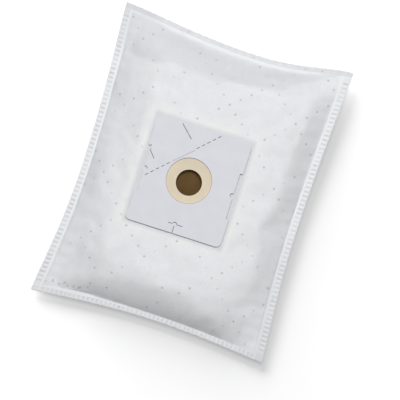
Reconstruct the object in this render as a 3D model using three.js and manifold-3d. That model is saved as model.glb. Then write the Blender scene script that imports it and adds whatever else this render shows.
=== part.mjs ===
// A vacuum cleaner's dust bag, new and a little puffed up, lying on its back.
// Two fleece panels are welded together round their edge, each with a filter ply inside it.
// A die-cut card collar on the front panel holds a rubber ring, the seal of the inlet.
// Millimetres. +X runs across the bag, +Y towards its head seam and +Z up from the floor.
// The origin is on the floor under the middle of the bag.
import * as THREE from "three";
import { mergeVertices } from "three/addons/utils/BufferGeometryUtils.js";
import Module from "manifold-3d";

const wasm = await Module();
wasm.setup();

// The bag's outline. Its four edges are drawn in between the corners, because the bag is full of air.
const BAG_WIDTH = 243;
const BAG_LENGTH = 304;
const SIDES = 4;
const HEAD_STEP_LEFT = 4.4; // how far the head's left corner stands in from the foot's
const HEAD_STEP_RIGHT = 1.2;
const HEAD_SLANT = 1.2; // how much lower the head's left corner is than its right one
const LEFT_BOW = 9.2;
const RIGHT_BOW = 6.5;
const HEAD_BOW = 11.8;
const FOOT_BOW = 7.5;
const SIDE_WAIST = -26; // where along the length the sides are drawn in most
const HEAD_WAIST = 27; // where across the width the head is drawn in most
const SIDE_ROUNDNESS = 1.3;
const HEAD_ROUNDNESS = 1.6;

// The welded edge.
const SIDE_WELD = 9; // width of the ladder weld along the sides
const FOOT_WELD = 6.5; // width of the foot's ladder weld as seen from above
const FOOT_WELD_DROP = 2; // and how far it hangs down
const HEAD_WELD = 6; // width of the plain weld at the head
const WELD_CORNER = 12; // side of the plain square at each corner, where two welds cross
const WELD_CORNER_POWER = 20; // how square the inner line of the weld is at its corners
const SEAM_HEIGHT = 13; // the weld above the floor
const HEAD_CORNER_RISE = 4; // how much the head's two corners turn up
const FOOT_SAG = 4; // how much lower the foot's weld lies
const SAG_POWER = 4; // how close to the foot the sides start to sag

// The ladder pattern that the welding wheel presses into the front.
const RUNG_PITCH = 4.6;
const POCKET_LENGTH = 2.6; // along the seam
const OUTER_RAIL = 1.1; // from the bag's edge to the pockets
const INNER_RAIL = 2.6; // from the pockets to the inner line of the weld
const POCKET_DEPTH = 0.35;
const LADDER_START = 13.5; // from a corner of the bag to the first pocket's middle

// The layers. Each lies a small gap from the next.
const FLEECE = 0.8;
const PLY = 0.4;
const GAP = 0.3;
const FRONT_HEIGHT = 38.4; // the front panel's face under the collar, above the floor
const PLY_END = 0.93; // how far down the slope the plies reach, where the weld's crease takes them

// How the panels fall to the weld, each towards its four sides.
// An eased slope is steepest half way between its two shares of the way from the flat to the weld.
const LEFT_SLOPE = [-0.5, 1.45];
const HEAD_SLOPE = [0.5, 0.98];
// The right slope is gentle at first, and steepens between its two shares of the way.
const RIGHT_BEND = [0.45, 0.7];
const RIGHT_GENTLE = 0.34; // the gentle part's steepness, as a share of what is added further down
const GENTLE_POWER = 1.6;
const FOOT_SLOPE_POWER = 4.2;
const BACK_SLOPE_POWER = 3;

// The collar.
const COLLAR_X = -3.5;
const COLLAR_Y = -0.7;
const CARD_WIDTH = 98.4;
const CARD_LENGTH = 108.6;
const CARD = 1.4; // thickness of the face card
const BACKING = 0.8; // thickness of the backing card
const BACKING_INSET = 0.6;
const CARD_CORNERS = { headLeft: 8, headRight: 5, footRight: 5.5, footLeft: 4 };
const GRIP_DEPTH = 3; // the shallow recess in each long edge
const GRIP_START = 32; // from the card's head edge
const GRIP_LENGTH = 46.6;
const NOTCH_RADIUS = 2.4; // the small round notch in the middle of each recess
const NOTCH_DEPTH = 3.4;
const PANEL_MARGIN = 6; // the flat of the front panel reaches this far past the card
const FLAT_CORNER_POWER = 10;

// The inlet, with the rubber ring held between the face card and the fleece.
const WINDOW_DIAMETER = 46; // hole of the face card
const RING_SEAT_DIAMETER = 62; // hole of the backing card, round the ring
const RING_THICKNESS = 0.8;
const INLET_DIAMETER = 26;
const INLET_SHIFT_X = 0.5; // the inlet isn't quite in the middle of the window
const INLET_SHIFT_Y = -1.7;
const PANEL_HOLE_DIAMETER = 50; // hole of the front panel and of its ply

// The die cuts of the face card, from its left edge and its head edge.
const SLIT_WIDTH = 0.6;
const TEAR_FROM = [66.2, 2.7]; // the perforation that a corner flap folds along
const TEAR_TO = [6.1, 61.5];
const TEAR_DASH = 3;
const TEAR_PITCH = 6;
const TEAR_DASHES = 5; // at each end of the perforation
const HEAD_SLIT = [[26.5, 2.2], [38.8, 14]];
const SIDE_SLIT = [[2.6, 31.2], [3.8, 37], [9.4, 43.5]];
const LOCK_X = 48.7; // the lock: a half-round cut with a short slit on each side and one to the foot edge
const LOCK_Y = 99.5;
const LOCK_RADIUS = 2;
const LOCK_SLITS = [[42.5, 45.5], [51.6, 56.5]];

// How finely the curves are cut.
const SIDE_STEPS = 12; // along each side of the bag, between its corner squares
const SLOPE_STEPS = 4; // down the slope
const ROUND_STEPS = 40;
const ARC_STEPS = 5;
const NORMAL_STEP = 0.02;
const EPSILON = 1e-3;

const HALF_WIDTH = BAG_WIDTH / 2;
const HALF_LENGTH = BAG_LENGTH / 2;

const fleeceWhite = new THREE.MeshStandardMaterial({ color: 0xe6e7ea, roughness: 0.95, metalness: 0 });
const plyBrown = new THREE.MeshStandardMaterial({ color: 0x7a6242, roughness: 0.95, metalness: 0 });
const cardWhite = new THREE.MeshStandardMaterial({ color: 0xd7d8df, roughness: 0.8, metalness: 0 });
const rubberCream = new THREE.MeshStandardMaterial({ color: 0xddcfb7, roughness: 0.6, metalness: 0 });

// Solids, cuts and joins.

function toSolid(geometry) {
  const bare = geometry.clone();
  bare.deleteAttribute("normal");
  bare.deleteAttribute("uv");
  const merged = mergeVertices(bare, EPSILON);
  return new wasm.Manifold(new wasm.Mesh({
    numProp: 3,
    vertProperties: merged.attributes.position.array,
    triVerts: new Uint32Array(merged.index.array),
  }));
}

function toGeometry(solid) {
  const mesh = solid.getMesh();
  const geometry = new THREE.BufferGeometry();
  geometry.setAttribute("position", new THREE.BufferAttribute(mesh.vertProperties, mesh.numProp));
  geometry.setIndex(new THREE.BufferAttribute(mesh.triVerts, 1));
  geometry.computeVertexNormals();
  return geometry;
}

function cut(geometry, cutters) {
  const tools = wasm.Manifold.union(cutters.map(toSolid));
  return toGeometry(toSolid(geometry).subtract(tools));
}

// The bag's surfaces. Each is a loft of rings round the inlet.
// "around" runs from 0 to SIDES, one per side from the left foot corner and anticlockwise.
// "level" is 0 at the hole, 1 at the edge of the flat, 2 at the weld's inner line and 3 at the bag's edge.

function squarePoint(around) {
  const side = Math.floor(around) % SIDES;
  const along = 2 * (around - Math.floor(around)) - 1;
  const corners = [[along, -1], [1, along], [-along, 1], [-1, -along]];
  return new THREE.Vector2(...corners[side]);
}

// Where the loft has its points: at the ends of the corner squares, and evenly between them.
const places = [BAG_WIDTH, BAG_LENGTH, BAG_WIDTH, BAG_LENGTH].flatMap((length, side) => {
  const corner = WELD_CORNER / length;
  const between = Array.from({ length: SIDE_STEPS + 1 }, (_, step) =>
    side + corner + (1 - 2 * corner) * (step / SIDE_STEPS));
  return [side, ...between];
});
const AROUND = places.length;

// A point of a rectangle whose corners are rounded off, squarer for a higher power.
function roundedPoint(square, low, high, power) {
  const size = (Math.abs(square.x) ** power + Math.abs(square.y) ** power) ** (1 / power);
  return new THREE.Vector2(
    (low.x + high.x) / 2 + ((high.x - low.x) / 2) * (square.x / size),
    (low.y + high.y) / 2 + ((high.y - low.y) / 2) * (square.y / size),
  );
}

const flatLow = new THREE.Vector2(
  COLLAR_X - CARD_WIDTH / 2 - PANEL_MARGIN,
  COLLAR_Y - CARD_LENGTH / 2 - PANEL_MARGIN,
);
const flatHigh = new THREE.Vector2(
  COLLAR_X + CARD_WIDTH / 2 + PANEL_MARGIN,
  COLLAR_Y + CARD_LENGTH / 2 + PANEL_MARGIN,
);
const weldLow = new THREE.Vector2(-HALF_WIDTH + SIDE_WELD, -HALF_LENGTH + FOOT_WELD);
const weldHigh = new THREE.Vector2(HALF_WIDTH - SIDE_WELD, HALF_LENGTH - HEAD_WELD);

// How far an edge is drawn in at a place along it: 1 at the waist and 0 at the corners.
function drawnIn(place, half, waist, roundness) {
  const room = place > waist ? half - waist : half + waist;
  const share = Math.min(1, Math.abs(place - waist) / room);
  return (1 - share * share) ** roundness;
}

// Moves a point of the bag's rectangle to where it is on the bowed outline. The flat stays in place.
function bowed(point) {
  const toLeft = THREE.MathUtils.clamp((flatLow.x - point.x) / (flatLow.x + HALF_WIDTH), 0, 1);
  const toRight = THREE.MathUtils.clamp((point.x - flatHigh.x) / (HALF_WIDTH - flatHigh.x), 0, 1);
  const toHead = THREE.MathUtils.clamp((point.y - flatHigh.y) / (HALF_LENGTH - flatHigh.y), 0, 1);
  const toFoot = THREE.MathUtils.clamp((flatLow.y - point.y) / (flatLow.y + HALF_LENGTH), 0, 1);
  const headShare = (point.y + HALF_LENGTH) / BAG_LENGTH;
  const leftShare = (HALF_WIDTH - point.x) / BAG_WIDTH;
  const sides = drawnIn(point.y, HALF_LENGTH, SIDE_WAIST, SIDE_ROUNDNESS);
  const foot = drawnIn(point.x, HALF_WIDTH, 0, SIDE_ROUNDNESS);
  const head = drawnIn(point.x, HALF_WIDTH, HEAD_WAIST, HEAD_ROUNDNESS);
  const moveX = toLeft * (LEFT_BOW * sides + HEAD_STEP_LEFT * headShare)
    - toRight * (RIGHT_BOW * sides + HEAD_STEP_RIGHT * headShare);
  const moveY = toFoot * FOOT_BOW * foot - toHead * (HEAD_BOW * head + HEAD_SLANT * leftShare);
  return new THREE.Vector2(point.x + moveX, point.y + moveY);
}

function seamHeight(point) {
  const across = point.x / HALF_WIDTH;
  const along = point.y / HALF_LENGTH;
  const rise = HEAD_CORNER_RISE * Math.max(0, along) * across * across;
  return SEAM_HEIGHT + rise - FOOT_SAG * Math.max(0, -along) ** SAG_POWER;
}

// A place of the loft on the bag's flat rectangle.
function flatPoint(around, level) {
  const square = squarePoint(around);
  const flat = roundedPoint(square, flatLow, flatHigh, FLAT_CORNER_POWER);
  const weld = roundedPoint(square, weldLow, weldHigh, WELD_CORNER_POWER);
  const hole = new THREE.Vector2(flat.x - COLLAR_X, flat.y - COLLAR_Y)
    .setLength(PANEL_HOLE_DIAMETER / 2)
    .add(new THREE.Vector2(COLLAR_X, COLLAR_Y));
  const edge = new THREE.Vector2(square.x * HALF_WIDTH, square.y * HALF_LENGTH);
  const rings = [hole, flat, weld, edge];
  const inner = Math.min(Math.floor(level), 2);
  return rings[inner].clone().lerp(rings[inner + 1], level - inner);
}

function planPoint(around, level) {
  return bowed(flatPoint(around, level));
}

// The surface that the two panels meet at, through the welded edge. At the foot it hangs down.
function weldPoint(around, level) {
  const plan = planPoint(around, level);
  const fromFoot = (squarePoint(around).y + 1) * HALF_LENGTH;
  const foot = THREE.MathUtils.clamp(1 - fromFoot / WELD_CORNER, 0, 1);
  const drop = FOOT_WELD_DROP * foot * Math.max(0, level - 2);
  return new THREE.Vector3(plan.x, plan.y, seamHeight(plan) - drop);
}

// The direction square to a surface of the loft, upwards.
function upwardNormal(surface, around, level, innermost) {
  const before = surface((around + SIDES - NORMAL_STEP) % SIDES, level);
  const after = surface((around + NORMAL_STEP) % SIDES, level);
  const inside = surface(around, Math.max(innermost, level - NORMAL_STEP));
  const outside = surface(around, Math.min(3, level + NORMAL_STEP));
  return outside.sub(inside).cross(after.sub(before)).normalize();
}

function eased(share, [start, end]) {
  const step = (value) => THREE.MathUtils.smoothstep(value, start, end);
  return (step(share) - step(0)) / (step(1) - step(0));
}

function bent(share, gentle, [start, end]) {
  const steep = (value) => {
    const part = THREE.MathUtils.clamp((value - start) / (end - start), 0, 1);
    return (end - start) * (part ** 3 - part ** 4 / 2) + Math.max(value - end, 0);
  };
  return (gentle * share ** GENTLE_POWER + steep(share)) / (gentle + steep(1));
}

// How far a panel has come from the flat (0) to the weld (1) at a place of the bag's rectangle.
function fall(front, place) {
  const share = (value, from, to) => THREE.MathUtils.clamp((value - from) / (to - from), 0, 1);
  const left = share(place.x, flatLow.x, weldLow.x);
  const right = share(place.x, flatHigh.x, weldHigh.x);
  const head = share(place.y, flatHigh.y, weldHigh.y);
  const foot = share(place.y, flatLow.y, weldLow.y);
  const falls = front
    ? [eased(left, LEFT_SLOPE), bent(right, RIGHT_GENTLE, RIGHT_BEND), eased(head, HEAD_SLOPE),
      foot ** FOOT_SLOPE_POWER]
    : [left, right, head, foot].map((way) => way ** BACK_SLOPE_POWER);
  return 1 - falls.reduce((kept, way) => kept * (1 - way), 1);
}

// The middle surface of the front or the back panel.
function panelPoint(front, around, level) {
  const side = front ? 1 : -1;
  const inWeld = Math.max(2, level);
  const apart = upwardNormal(weldPoint, around, inWeld, 2).multiplyScalar((side * (FLEECE + GAP)) / 2);
  const down = level < 2 ? fall(front, flatPoint(around, level)) : 1;
  const height = front ? FRONT_HEIGHT - FLEECE / 2 : FLEECE / 2;
  const above = planPoint(around, level);
  return new THREE.Vector3(above.x, above.y, height).lerp(weldPoint(around, level).add(apart), down);
}

// The outward direction of a panel: up on the front and down on the back.
// Across the weld it is the weld's own, so that both panels keep the same distance there.
function panelNormal(front, around, level) {
  const normal = level < 2
    ? upwardNormal((place, height) => panelPoint(front, place, height), around, level, 0)
    : upwardNormal(weldPoint, around, level, 2);
  return front ? normal : normal.negate();
}

// The loft's rings down the slope. The plies end at the last of them.
const slopeLevels = Array.from({ length: SLOPE_STEPS }, (_, step) => 1 + (PLY_END * (step + 1)) / SLOPE_STEPS);

function layerPoint(front, around, level, depth) {
  return panelPoint(front, around, level).addScaledVector(panelNormal(front, around, level), -depth);
}

// A layer of a panel, from one depth to another below its middle surface, closed all round.
// The front layers have the hole at their middle, and the back ones are closed there.
function layer(front, levels, outer, inner) {
  const points = [];
  for (const depth of [outer, inner]) {
    for (const level of levels) points.push(...places.map((around) => layerPoint(front, around, level, depth)));
  }
  const rings = levels.length;
  const at = (ring, step) => ring * AROUND + (step % AROUND);
  const faces = [];
  const addFace = (turned, a, b, c) => faces.push(turned === front ? [a, c, b] : [a, b, c]);
  const bridge = (from, to, turned) => {
    for (let step = 0; step < AROUND; step++) {
      const [a, b] = [at(from, step), at(from, step + 1)];
      const [c, d] = [at(to, step), at(to, step + 1)];
      addFace(turned, a, c, d);
      addFace(turned, a, d, b);
    }
  };
  for (let ring = 0; ring < rings - 1; ring++) {
    bridge(ring, ring + 1, false);
    bridge(rings + ring, rings + ring + 1, true);
  }
  bridge(rings - 1, 2 * rings - 1, false);
  if (front) {
    bridge(0, rings, true);
  } else {
    for (const [ring, turned] of [[0, false], [rings, true]]) {
      const middle = points.length;
      points.push(new THREE.Vector3(COLLAR_X, COLLAR_Y, points[at(ring, 0)].z));
      for (let step = 0; step < AROUND; step++) addFace(turned, middle, at(ring, step), at(ring, step + 1));
    }
  }
  const geometry = new THREE.BufferGeometry();
  geometry.setAttribute("position", new THREE.Float32BufferAttribute(points.flatMap((p) => p.toArray()), 3));
  geometry.setIndex(faces.flat());
  geometry.computeVertexNormals();
  return geometry;
}

// A point of the front panel's outer face, on the flat facet between two points of the loft.
function onFacet(around, level) {
  const before = places.findLastIndex((place) => place <= around);
  const from = places[before];
  const to = places[before + 1] ?? SIDES;
  const start = layerPoint(true, from, level, -FLEECE / 2);
  return start.lerp(layerPoint(true, to % SIDES, level, -FLEECE / 2), (around - from) / (to - from));
}

// The pockets between the rungs of the ladder weld, along the foot and the two long sides of the front.
// Each is a shallow groove, cut by a wedge that lies across the weld with its edge down.
function ladderPockets() {
  const cutters = [];
  const wedgeTop = POCKET_DEPTH * (RUNG_PITCH / POCKET_LENGTH - 1);
  const wedge = new THREE.Shape([
    new THREE.Vector2(0, -POCKET_DEPTH),
    new THREE.Vector2(RUNG_PITCH / 2, wedgeTop),
    new THREE.Vector2(-RUNG_PITCH / 2, wedgeTop),
  ]);
  const sides = [[0, BAG_WIDTH], [1, BAG_LENGTH], [3, BAG_LENGTH]];
  for (const [side, length] of sides) {
    const run = length - 2 * LADDER_START;
    const gaps = Math.round(run / RUNG_PITCH);
    for (let pocket = 0; pocket <= gaps; pocket++) {
      const around = side + (LADDER_START + (run * pocket) / gaps) / length;
      const edge = onFacet(around, 3);
      const across = onFacet(around, 2).sub(edge);
      const width = across.length() - OUTER_RAIL - INNER_RAIL;
      across.normalize();
      const up = onFacet(around + NORMAL_STEP / 2, 3).sub(edge).cross(across).normalize();
      const seam = up.clone().cross(across);
      const groove = new THREE.ExtrudeGeometry(wedge, { depth: width, bevelEnabled: false });
      const start = edge.addScaledVector(across, OUTER_RAIL);
      groove.applyMatrix4(new THREE.Matrix4().makeBasis(seam, up, across).setPosition(start));
      cutters.push(groove);
    }
  }
  return cutters;
}

// The collar, drawn about the middle of its window.

function fullCircle(path, x, y, radius) {
  const arcs = ROUND_STEPS / ARC_STEPS;
  const turn = (2 * Math.PI) / arcs;
  for (let arc = 0; arc < arcs; arc++) path.absarc(x, y, radius, arc * turn, (arc + 1) * turn, false);
  return path;
}

function extruded(shape, thickness, height) {
  const geometry = new THREE.ExtrudeGeometry(shape, {
    depth: thickness,
    bevelEnabled: false,
    curveSegments: ARC_STEPS,
  });
  geometry.translate(COLLAR_X, COLLAR_Y, height);
  return geometry;
}

// The card's outline, with a recess and a round notch in each long edge.
function cardShape(inset, hole) {
  const right = CARD_WIDTH / 2 - inset;
  const head = CARD_LENGTH / 2 - inset;
  const gripHead = CARD_LENGTH / 2 - GRIP_START;
  const gripFoot = gripHead - GRIP_LENGTH;
  const notch = (gripHead + gripFoot) / 2;
  const gripEdge = right - GRIP_DEPTH;
  const notchMiddle = gripEdge - NOTCH_DEPTH + NOTCH_RADIUS;
  const { headLeft, headRight, footRight, footLeft } = CARD_CORNERS;
  const quarter = Math.PI / 2;

  const shape = new THREE.Shape();
  shape.moveTo(-right + footLeft, -head);
  shape.absarc(right - footRight, -head + footRight, footRight, -quarter, 0, false);
  shape.lineTo(right, gripFoot);
  shape.lineTo(gripEdge, gripFoot);
  shape.lineTo(gripEdge, notch - NOTCH_RADIUS);
  shape.absarc(notchMiddle, notch, NOTCH_RADIUS, -quarter, quarter, true);
  shape.lineTo(gripEdge, notch + NOTCH_RADIUS);
  shape.lineTo(gripEdge, gripHead);
  shape.lineTo(right, gripHead);
  shape.absarc(right - headRight, head - headRight, headRight, 0, quarter, false);
  shape.absarc(-right + headLeft, head - headLeft, headLeft, quarter, 2 * quarter, false);
  shape.lineTo(-right, gripHead);
  shape.lineTo(-gripEdge, gripHead);
  shape.lineTo(-gripEdge, notch + NOTCH_RADIUS);
  shape.absarc(-notchMiddle, notch, NOTCH_RADIUS, quarter, 3 * quarter, true);
  shape.lineTo(-gripEdge, notch - NOTCH_RADIUS);
  shape.lineTo(-gripEdge, gripFoot);
  shape.lineTo(-right, gripFoot);
  shape.absarc(-right + footLeft, -head + footLeft, footLeft, 2 * quarter, 3 * quarter, false);
  shape.holes.push(fullCircle(new THREE.Path(), 0, 0, hole / 2));
  return shape;
}

const backingBottom = FRONT_HEIGHT + GAP;
const cardBottom = backingBottom + BACKING + GAP;

// A straight cut through the face card between two places given from its left and head edges.
function slit([fromLeft, fromHead], [toLeft, toHead]) {
  const place = (left, head) => new THREE.Vector2(left - CARD_WIDTH / 2, CARD_LENGTH / 2 - head);
  const from = place(fromLeft, fromHead);
  const to = place(toLeft, toHead);
  const along = to.clone().sub(from);
  const tool = new THREE.BoxGeometry(along.length() + SLIT_WIDTH, SLIT_WIDTH, 3 * CARD);
  tool.rotateZ(along.angle());
  const middle = from.add(to).divideScalar(2);
  tool.translate(COLLAR_X + middle.x, COLLAR_Y + middle.y, cardBottom + CARD / 2);
  return tool;
}

function tearLine() {
  const from = new THREE.Vector2(...TEAR_FROM);
  const to = new THREE.Vector2(...TEAR_TO);
  const along = to.clone().sub(from).normalize();
  const dash = (start) => slit(
    from.clone().addScaledVector(along, start).toArray(),
    from.clone().addScaledVector(along, start + TEAR_DASH).toArray(),
  );
  const length = from.distanceTo(to);
  const dashes = [];
  for (let step = 0; step < TEAR_DASHES; step++) {
    dashes.push(dash(step * TEAR_PITCH), dash(length - TEAR_DASH - step * TEAR_PITCH));
  }
  return dashes;
}

function lockCuts() {
  const arc = new THREE.Shape();
  arc.absarc(0, 0, LOCK_RADIUS + SLIT_WIDTH / 2, 0, Math.PI, false);
  arc.absarc(0, 0, LOCK_RADIUS - SLIT_WIDTH / 2, Math.PI, 0, true);
  const halfRound = extruded(arc, 3 * CARD, cardBottom - CARD);
  halfRound.translate(LOCK_X - CARD_WIDTH / 2, CARD_LENGTH / 2 - LOCK_Y, 0);
  const besides = LOCK_SLITS.map(([from, to]) => slit([from, LOCK_Y], [to, LOCK_Y]));
  return [halfRound, ...besides, slit([LOCK_X, LOCK_Y + LOCK_RADIUS], [LOCK_X, CARD_LENGTH + SLIT_WIDTH])];
}

function dieCuts() {
  const sideCuts = SIDE_SLIT.slice(1).map((to, step) => slit(SIDE_SLIT[step], to));
  return [...tearLine(), slit(...HEAD_SLIT), ...sideCuts, ...lockCuts()];
}

function sealRing() {
  const shape = fullCircle(new THREE.Shape(), 0, 0, RING_SEAT_DIAMETER / 2 - GAP);
  shape.holes.push(fullCircle(new THREE.Path(), INLET_SHIFT_X, INLET_SHIFT_Y, INLET_DIAMETER / 2));
  return extruded(shape, RING_THICKNESS, backingBottom);
}

// The parts, put together.

const bag = new THREE.Group();
bag.name = "dust_bag";

function add(name, geometry, material) {
  const mesh = new THREE.Mesh(geometry, material);
  mesh.name = name;
  bag.add(mesh);
}

const plyLevels = [0, 1, ...slopeLevels];
const panelLevels = [...plyLevels, 2, 3];
const plyOuter = FLEECE / 2 + GAP;

add("front_panel", cut(layer(true, panelLevels, -FLEECE / 2, FLEECE / 2), ladderPockets()), fleeceWhite);
add("front_filter_ply", layer(true, plyLevels, plyOuter, plyOuter + PLY), plyBrown);
add("back_filter_ply", layer(false, plyLevels, plyOuter, plyOuter + PLY), plyBrown);
add("back_panel", layer(false, panelLevels, -FLEECE / 2, FLEECE / 2), fleeceWhite);
add("collar_backing_card", extruded(cardShape(BACKING_INSET, RING_SEAT_DIAMETER), BACKING, backingBottom), cardWhite);
add("inlet_seal_ring", sealRing(), rubberCream);
add("collar_face_card", cut(extruded(cardShape(0, WINDOW_DIAMETER), CARD, cardBottom), dieCuts()), cardWhite);

export default bag;
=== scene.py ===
"""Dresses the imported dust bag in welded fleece, filter plies, a card collar and a rubber ring."""

import functools
import math

import bmesh
import bpy
import numpy as np
from bpy.props import FloatProperty, FloatVectorProperty, PointerProperty
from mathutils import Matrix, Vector, noise


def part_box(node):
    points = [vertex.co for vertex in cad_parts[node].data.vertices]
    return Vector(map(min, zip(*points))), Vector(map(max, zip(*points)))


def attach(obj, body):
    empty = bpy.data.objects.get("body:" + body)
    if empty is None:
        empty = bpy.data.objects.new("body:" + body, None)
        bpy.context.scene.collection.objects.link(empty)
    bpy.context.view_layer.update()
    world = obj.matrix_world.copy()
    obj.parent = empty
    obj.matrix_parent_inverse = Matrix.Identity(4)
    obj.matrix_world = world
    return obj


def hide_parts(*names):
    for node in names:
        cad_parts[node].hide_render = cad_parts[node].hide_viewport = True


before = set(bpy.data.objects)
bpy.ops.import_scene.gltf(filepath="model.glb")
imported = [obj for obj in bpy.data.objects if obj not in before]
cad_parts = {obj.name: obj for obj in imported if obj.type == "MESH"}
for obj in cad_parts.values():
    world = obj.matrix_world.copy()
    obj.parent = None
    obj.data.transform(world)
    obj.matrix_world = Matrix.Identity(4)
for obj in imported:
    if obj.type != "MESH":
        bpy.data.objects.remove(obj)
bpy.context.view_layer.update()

bl_info = {
    "name": "Vacuum dust bag",
    "version": (1, 0, 0),
    "blender": (4, 5, 0),
    "location": "3D View > Sidebar > Dust Bag",
    "description": "Builds a puffed fleece dust bag with welded edges and a die-cut card collar",
    "category": "Object",
}

MM = 0.001

# The cut sheets, as the source has them. Their edges are then drawn in between the corners.
HALF_WIDTH = 121.5 * MM
HALF_LENGTH = 152 * MM
HEAD_STEP_LEFT, HEAD_STEP_RIGHT, HEAD_SLANT = 4.4 * MM, 1.2 * MM, 1.2 * MM
LEFT_BOW, RIGHT_BOW, HEAD_BOW, FOOT_BOW = 9.2 * MM, 6.5 * MM, 11.8 * MM, 7.5 * MM
SIDE_WAIST, HEAD_WAIST = -26 * MM, 27 * MM
SIDE_ROUNDNESS, HEAD_ROUNDNESS = 1.3, 1.6

# The weld all round, and the ladder of pockets that the welding wheel leaves.
SIDE_WELD, FOOT_WELD, HEAD_WELD = 9 * MM, 6.5 * MM, 6 * MM
FOOT_WELD_DROP = 0.6 * MM
SEAM_HEIGHT, HEAD_CORNER_RISE, FOOT_SAG = 13 * MM, 4 * MM, 4 * MM
LADDER_FOOT_END, LADDER_HEAD_END = 9 * MM, 11 * MM
OUTER_RAIL, SIDE_RAIL, FOOT_RAIL = 0.9 * MM, 2.6 * MM, 1.2 * MM
UPPER_RAIL_EXTRA = 1.2 * MM
BAND_BLUR, POCKET_BLUR = 0.3 * MM, 0.4 * MM
WHEEL_WANDER = 0.25 * MM
FOOT_POCKET_SHARE, RUNG_SHARE, LOW_RAIL_FADE = 0.6, 0.5, 0.75
HEAD_SEAM, HEAD_RIDGE, HEAD_RIDGE_WIDTH = 5 * MM, 7 * MM, 2.6 * MM
VALLEY_PLACE, VALLEY_WIDTH, VALLEY_SHIFT = 1.2 * MM, 1.3 * MM, 2 * MM
VALLEY_SHARE, UPPER_VALLEY_FADE = 0.5, 0.7
UPPER_RIGHT_REACH, LOWER_RIGHT_REACH = 50 * MM, 60 * MM
GATHERED_X, GATHERED_Y = -62 * MM, -132 * MM
GATHER_WIDTH, GATHER_LEAN = 1.8, 0.6
RIDGE_HEIGHT, CREASE_DEPTH, GATHER_DEPTH = 0.3 * MM, 0.3 * MM, 2.5
EDGE_WEAR, EDGE_WEAR_REACH = 0.5 * MM, 1.2 * MM

# The layers and the collar.
WELDED_LAYER, WELD_START = 0.55 * MM, 0.93
GAP = 0.3 * MM
CARD_LOW, CARD_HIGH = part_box("collar_face_card")
RING_LOW, RING_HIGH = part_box("inlet_seal_ring")
COLLAR = Vector(((CARD_LOW.x + CARD_HIGH.x) / 2, (CARD_LOW.y + CARD_HIGH.y) / 2, 0))
FLAT_MARGIN = 6 * MM
FLAT_LOW = (CARD_LOW.x - FLAT_MARGIN, CARD_LOW.y - FLAT_MARGIN)
FLAT_HIGH = (CARD_HIGH.x + FLAT_MARGIN, CARD_HIGH.y + FLAT_MARGIN)
WELD_LOW = (-HALF_WIDTH + SIDE_WELD, -HALF_LENGTH + FOOT_WELD)
WELD_HIGH = (HALF_WIDTH - SIDE_WELD, HALF_LENGTH - HEAD_WELD)
FRONT_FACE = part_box("collar_backing_card")[0].z - GAP
PANEL_HOLE = 50 * MM
PLY_SHARE, PLY_CORNER_POWER = 0.88, 8
PLY_RISE, PLY_RISE_REACH = 29 * MM, 75 * MM

# The cells of the cut sheets, and the cuts that make them finer in the weld.
FRONT_CELL, BACK_CELL, PLY_CELL = 1.8 * MM, 3 * MM, 3 * MM
FRONT_CUTS, BACK_CUTS = 2, 1

# How the front falls to each weld, in shares of the way there. A wave has a height and a length each way.
SLOPE_WAVES = ((2.5 * MM, 31 * MM, 23 * MM), (1.5 * MM, 17 * MM, -13 * MM))
WAVES_END = 0.5
LEFT_SOFT_START, LEFT_EVENNESS = 0.2, 0.93
RIGHT_GENTLE, RIGHT_BEND_START, RIGHT_BEND_END = 0.34, 0.45, 0.7
GENTLE_POWER = 1.6
LOW_RIGHT_EVENNESS, LOW_RIGHT_POWER = 0.8, 1.5
LOW_RIGHT_START, LOW_RIGHT_END = 40 * MM, 110 * MM
HEAD_BEND_START, HEAD_BEND_END = 0.52, 0.97
FOOT_POWER, BACK_POWER = 4.2, 3
LOW_LEFT_EXTRA, LOW_LEFT_REACH = 0.03, 60 * MM
CORNER_HOLD, LOW_RIGHT_HOLD, HEAD_LEFT_HOLD = 1.0, 1 / 3, 0.8
CORNER_SINK, CORNER_SINK_POWER = 0.9, 1.9

# Painted shade on the head slope starts below the head seam, and higher beyond each bend: place and rise.
SLOPE_SHADE_START, SLOPE_SHADE_BLUR = 103 * MM, 3 * MM
SLOPE_SHADE_BENDS = ((10 * MM, 0.25), (56 * MM, 0.3))
# That band of painted shade ends at a share of the head slope, and has a paler stripe along it.
BAND_END, BAND_END_LEFT_EXTRA, BAND_END_BLUR = 0.93, 0.06, 0.05
STRIPE_PLACE, STRIPE_HALF_WIDTH, STRIPE_FADE = 0.75, 0.15, 0.5
BESIDE_RAIL_START, BESIDE_RAIL_FULL, BESIDE_RAIL_END = 0.6, 0.85, 0.985
BESIDE_RAIL_FADE_START, BESIDE_RAIL_FADE_END = 40 * MM, 100 * MM
LEFT_RAIL_SHADE, LOW_RAIL_SHADE = 0.55, 0.8

# Folds that the photo shows in the front: start, end, height and width in millimetres on the cut sheet.
FOLDS = (
    ((-70, 112), (-62, -70), 0.4, 10),
    ((-105, 138), (-99, 60), -0.5, 8),
    ((-40, 112), (-12, 104), -0.6, 9),
    ((30, 108), (58, 122), 0.6, 9),
    ((88, 96), (84, 62), -0.7, 8),
    ((100, 74), (96, 34), 0.5, 7),
    ((-92, -60), (-78, -128), 0.5, 9),
)
# Small rises and dips all over the front: waves to the metre, and height.
DIMPLES = ((30, 1.1 * MM), (75, 0.6 * MM))
PUCKER_HEIGHT, PUCKER_LENGTH, PUCKER_DRIFT = 0.45 * MM, 2.4 * MM, 19 * MM
PUCKER_START, PUCKER_FULL = 0.6, 0.95
UNEVEN_FULL, UNEVEN_END = 0.2, 0.9
# How folds and creases fade in and out, in shares of their length.
LINE_FADE_IN, LINE_FADE_OUT = (-0.1, 0.25), (0.75, 1.1)
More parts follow.
